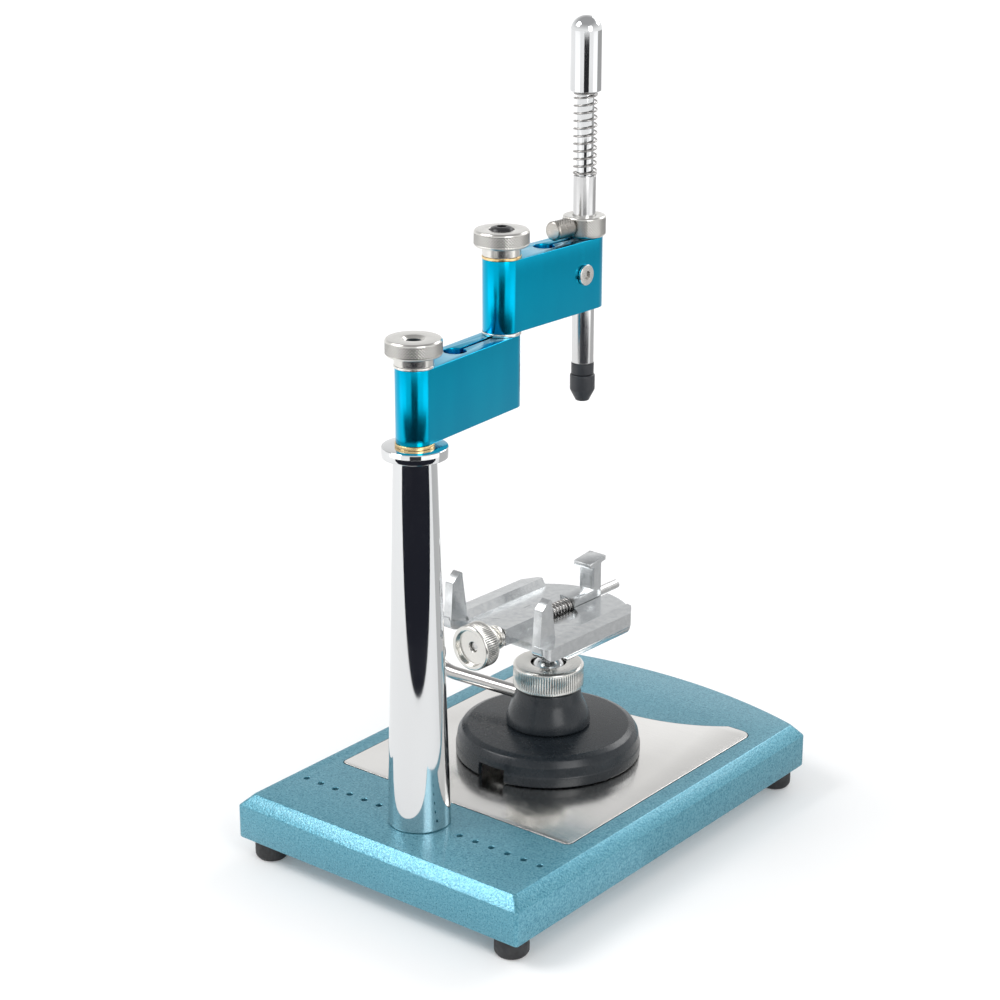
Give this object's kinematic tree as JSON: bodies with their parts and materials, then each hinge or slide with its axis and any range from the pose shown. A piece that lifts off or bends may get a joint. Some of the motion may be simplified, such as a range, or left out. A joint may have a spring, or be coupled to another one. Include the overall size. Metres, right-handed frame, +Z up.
{
  "type": "dental laboratory surveyor",
  "caption": "Dental laboratory surveyor with two swing arms, a sprung vertical spindle and a ball-jointed cast table on a steel-topped blue base.",
  "frame": {"origin": "floor level, under the middle of the bounding box of the base", "axes": "+Z up the column, +Y from the column towards the bowed edge of the base, +X to the right when facing +Y"},
  "size_m": [0.18, 0.2663, 0.4146],
  "materials": {
    "blue_paint": "hammertone enamel, light blue",
    "blue_anodised": "blue anodised, satin",
    "chrome": "polished chrome plate",
    "nickel": "nickel plated and knurled",
    "steel": "ground or zinc plated steel",
    "brass": "turned brass",
    "cast_metal": "light grey casting, tumbled",
    "black_plastic": "black moulding, satin to gloss",
    "black_rubber": "moulded black rubber",
    "black_steel": "black oxide steel"
  },
  "bodies": {
    "base": {"base_plate": "blue_paint", "steel_plate": "steel", "foot_1": "black_rubber", "foot_2": "black_rubber", "foot_3": "black_rubber", "foot_4": "black_rubber", "foot_screw_1": "steel", "foot_screw_2": "steel", "foot_screw_3": "steel", "foot_screw_4": "steel", "column": "chrome", "column_bolt": "steel", "column_washer": "steel", "lower_pivot_stud": "steel", "lower_washer": "brass"},
    "lower_arm": {"lower_arm": "blue_anodised", "upper_pivot_screw": "black_steel", "middle_washer": "nickel"},
    "lower_clamp_knob": {"lower_clamp_knob": "nickel", "lower_knob_washer": "nickel"},
    "lower_arm_clamp_screw": {"lower_arm_clamp_screw": "nickel"},
    "upper_arm": {"upper_arm": "blue_anodised", "spindle_sleeve": "chrome", "sleeve_collar": "nickel", "spindle_spring": "steel"},
    "upper_clamp_knob": {"upper_clamp_knob": "nickel", "upper_knob_washer": "brass"},
    "upper_arm_clamp_screw": {"upper_arm_clamp_screw": "nickel"},
    "collar_thumb_screw": {"collar_thumb_screw": "nickel"},
    "spindle": {"spindle_rod": "chrome", "spindle_cap": "chrome", "chuck_body": "black_steel"},
    "chuck_nut": {"chuck_nut": "black_steel"},
    "table_glide": {"table_glide": "black_rubber"},
    "table": {"table_base": "black_plastic", "table_weight": "steel", "socket_post": "steel", "socket_screw_1": "steel", "socket_screw_2": "steel", "socket_screw_3": "steel", "ball_pad": "brass"},
    "lock_lever": {"lock_neck": "black_plastic", "lock_lever": "chrome", "lever_ball": "black_plastic"},
    "knurled_cap": {"knurled_cap": "nickel"},
    "pivot_ball": {"pivot_ball": "chrome"},
    "ball_stud": {"ball_stud": "chrome"},
    "platform": {"cast_platform": "cast_metal", "clamp_bushing": "nickel", "jaw_spring": "steel"},
    "clamp_screw": {"clamp_screw": "steel", "clamp_knob": "nickel"},
    "clamp_jaw": {"clamp_jaw": "cast_metal"}
  },
  "joints": [
    {"name": "lower_arm_swing", "type": "hinge", "parent": "base", "child": "lower_arm", "pos_m": [0, -0.0967, 0.25], "axis": [0, 0, 1], "continuous": true},
    {"name": "lower_clamp_knob_turn", "type": "hinge", "parent": "base", "child": "lower_clamp_knob", "pos_m": [0, -0.0967, 0.275], "axis": [0, 0, 1], "range_deg": [0, 180]},
    {"name": "lower_arm_clamp_screw_turn", "type": "hinge", "parent": "lower_arm", "child": "lower_arm_clamp_screw", "pos_m": [-0.00413, -0.03667, 0.24985], "axis": [-0.9976, -0.0687, 0], "range_deg": [0, 90]},
    {"name": "upper_arm_swing", "type": "hinge", "parent": "lower_arm", "child": "upper_arm", "pos_m": [-0.0049, -0.0256, 0.287], "axis": [0, 0, 1], "range_deg": [-148, 158]},
    {"name": "upper_clamp_knob_turn", "type": "hinge", "parent": "lower_arm", "child": "upper_clamp_knob", "pos_m": [-0.0049, -0.0256, 0.313], "axis": [0, 0, 1], "range_deg": [0, 180]},
    {"name": "upper_arm_clamp_screw_turn", "type": "hinge", "parent": "upper_arm", "child": "upper_arm_clamp_screw", "pos_m": [-0.00316, 0.0267, 0.289], "axis": [0.9995, -0.0332, 0], "range_deg": [0, 90]},
    {"name": "thumb_screw_turn", "type": "hinge", "parent": "upper_arm", "child": "collar_thumb_screw", "pos_m": [-0.00279, 0.0378, 0.3118], "axis": [-0.0332, -0.9995, 0], "range_deg": [0, 90]},
    {"name": "spindle_press", "type": "slide", "parent": "upper_arm", "child": "spindle", "axis": [0, 0, -1], "range_m": [0, 0.03], "stiffness_N_per_m": 120, "springref_m": -0.03, "deforming": ["spindle_spring"]},
    {"name": "chuck_nut_turn", "type": "hinge", "parent": "spindle", "child": "chuck_nut", "pos_m": [-0.00279, 0.0378, 0.228], "axis": [0, 0, 1], "range_deg": [0, 180]},
    {"name": "table_slide_x", "type": "slide", "parent": "base", "child": "table_glide", "axis": [1, 0, 0], "range_m": [-0.02, 0.02]},
    {"name": "table_slide_y", "type": "slide", "parent": "table_glide", "child": "table", "axis": [0, 1, 0], "range_m": [-0.014, 0.014]},
    {"name": "lock_lever_swing", "type": "hinge", "parent": "table", "child": "lock_lever", "pos_m": [0, 0.0074, 0.062], "axis": [0, 0, 1], "range_deg": [-60, 30]},
    {"name": "knurled_cap_turn", "type": "hinge", "parent": "table", "child": "knurled_cap", "pos_m": [0, 0.0074, 0.079], "axis": [0, 0, 1], "range_deg": [0, 180]},
    {"name": "table_tilt_x", "type": "hinge", "parent": "table", "child": "pivot_ball", "pos_m": [0, 0.0074, 0.0785], "axis": [0.9993, -0.0366, 0], "range_deg": [-15, 15]},
    {"name": "table_tilt_y", "type": "hinge", "parent": "pivot_ball", "child": "ball_stud", "pos_m": [0, 0.0074, 0.0785], "axis": [0.0366, 0.9993, 0], "range_deg": [-15, 15]},
    {"name": "platform_turn", "type": "hinge", "parent": "ball_stud", "child": "platform", "pos_m": [0, 0.0074, 0.1], "axis": [0, 0, 1], "continuous": true},
    {"name": "clamp_screw_turn", "type": "hinge", "parent": "platform", "child": "clamp_screw", "pos_m": [-0.00183, -0.04257, 0.1122], "axis": [0.0366, 0.9993, 0], "range_deg": [0, 1630]},
    {"name": "jaw_slide", "type": "slide", "parent": "platform", "child": "clamp_jaw", "axis": [-0.0366, -0.9993, 0], "range_m": [0, 0.009], "deforming": ["jaw_spring"]}
  ],
  "couplings": [
    {"joint": "clamp_screw_turn", "follows": "jaw_slide", "rad_per_m": 3141.6}
  ]
}
